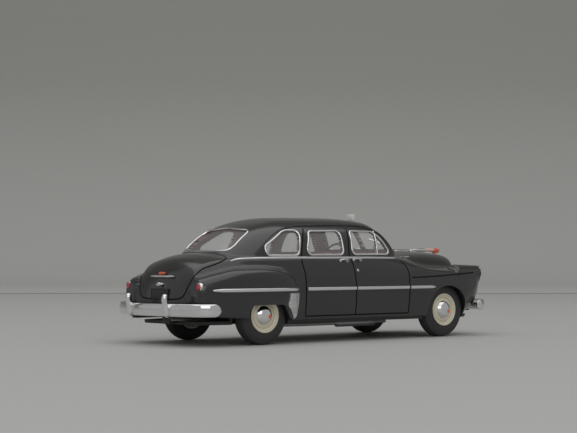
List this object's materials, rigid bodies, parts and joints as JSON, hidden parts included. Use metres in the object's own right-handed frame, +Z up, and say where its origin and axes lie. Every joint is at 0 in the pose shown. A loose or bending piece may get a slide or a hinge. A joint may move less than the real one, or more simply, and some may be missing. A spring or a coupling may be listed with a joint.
{
  "type": "scale model taxi",
  "caption": "Small die-cast display model of an early-fifties saloon taxi, one-piece shell over a chassis plate with glazed cabin, rolling on free-turning wheelsets.",
  "frame": {"origin": "on the surface the model stands on, below the middle of its overall length and width", "axes": "+Z up, -Y towards the front of the car, -X towards the car's right-hand side"},
  "size_m": [0.045, 0.1286, 0.0391],
  "materials": {
    "body_paint": "gloss black",
    "chassis_black": "satin black moulding",
    "steel": "plain",
    "exhaust_silver": "silver paint",
    "trim_beige": "satin moulding",
    "seat_red": "satin moulding",
    "dash_red": "satin moulding",
    "clear": "clear moulding",
    "chrome": "bright plating",
    "red_lens": "red moulding",
    "white_gloss": "white",
    "plate_black": "blank",
    "crest_red": "red enamel",
    "tyre": "plain rubber",
    "rim_cream": "cream paint"
  },
  "bodies": {
    "car": {"body_shell": "body_paint", "chassis_plate": "chassis_black", "front_suspension": "chassis_black", "rear_axle_housing": "chassis_black", "exhaust_pipe": "exhaust_silver", "interior_tub": "trim_beige", "front_seat": "seat_red", "rear_seat": "seat_red", "dashboard": "dash_red", "steering_wheel": "dash_red", "windscreen": "clear", "rear_window": "clear", "side_windows": "clear", "windscreen_frame": "chrome", "rear_window_frame": "chrome", "side_window_frames": "chrome", "side_mouldings": "chrome", "gravel_shields": "chrome", "front_bumper": "chrome", "rear_bumper": "chrome", "grille": "chrome", "headlamp_rims": "chrome", "headlamp_lenses": "clear", "parking_lamps": "clear", "tail_lamp_bezels": "chrome", "tail_lamp_lenses": "red_lens", "number_plate": "plate_black", "plate_lamp": "chrome", "boot_handle": "chrome", "boot_emblem": "crest_red", "bonnet_ornament": "chrome", "bonnet_crest": "crest_red", "roof_sign": "white_gloss", "wipers": "chrome", "door_handles": "chrome", "belt_mouldings": "chrome"},
    "front_wheelset": {"front_tyres": "tyre", "front_rims": "rim_cream", "front_hubcaps": "chrome", "front_axle": "steel"},
    "rear_wheelset": {"rear_tyres": "tyre", "rear_rims": "rim_cream", "rear_hubcaps": "chrome", "rear_axle": "steel"}
  },
  "joints": [
    {"name": "front_axle_spin", "type": "hinge", "parent": "car", "child": "front_wheelset", "pos_m": [0, -0.0401, 0.0086], "axis": [1, 0, 0], "continuous": true},
    {"name": "rear_axle_spin", "type": "hinge", "parent": "car", "child": "rear_wheelset", "pos_m": [0, 0.0343, 0.0086], "axis": [1, 0, 0], "continuous": true}
  ]
}
